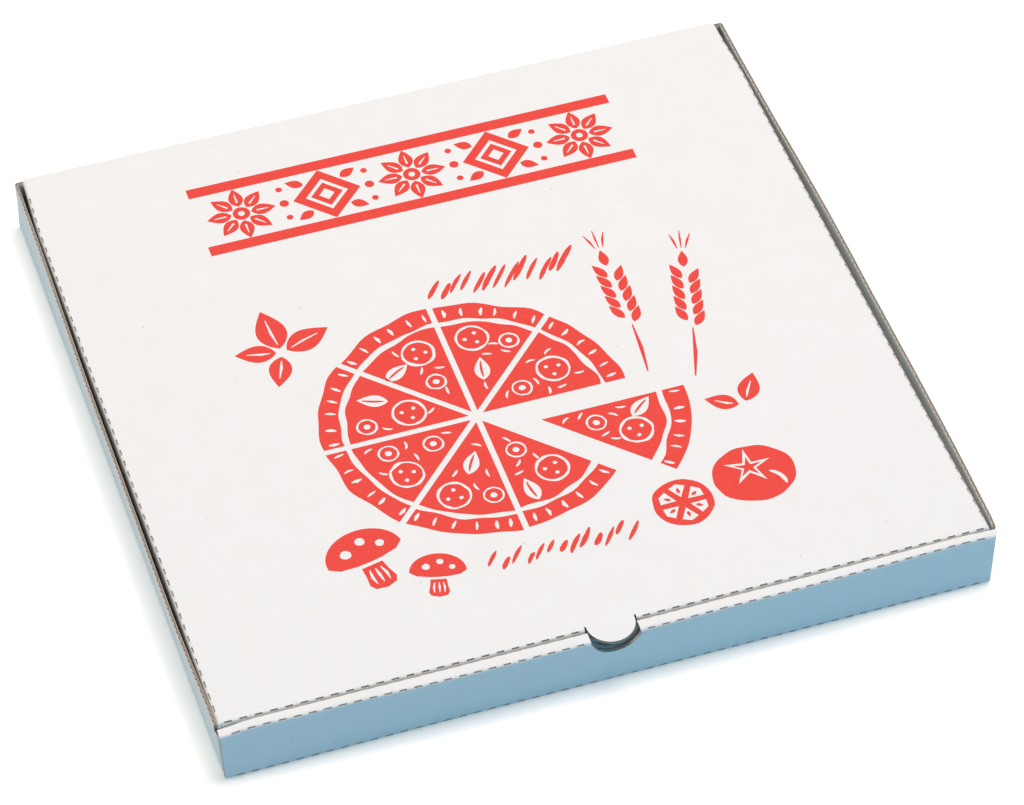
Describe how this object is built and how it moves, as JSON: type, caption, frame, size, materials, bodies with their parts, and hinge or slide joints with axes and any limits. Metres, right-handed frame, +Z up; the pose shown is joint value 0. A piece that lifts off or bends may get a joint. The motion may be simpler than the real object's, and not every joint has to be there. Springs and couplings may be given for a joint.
{
  "type": "pizza box",
  "caption": "Flat square box folded from thin white corrugated board, with a roll-over front wall, a hinged tuck lid and a half-round thumb tab over a finger notch.",
  "frame": {"origin": "bottom centre of the whole closed box, on the surface that it stands on", "axes": "+X to the right along the front wall, +Y from the front wall to the hinge at the back, +Z up"},
  "size_m": [0.3438, 0.338, 0.029],
  "materials": {
    "tray_board": "matte",
    "lid_board": "matte",
    "lid_print": "matte"
  },
  "bodies": {
    "tray": {"tray": "tray_board"},
    "lid": {"lid": "lid_board"}
  },
  "joints": [
    {"name": "lid_hinge", "type": "hinge", "parent": "tray", "child": "lid", "pos_m": [0, 0.16825, 0.02825], "axis": [-1, 0, 0], "range_deg": [0, 180]}
  ]
}
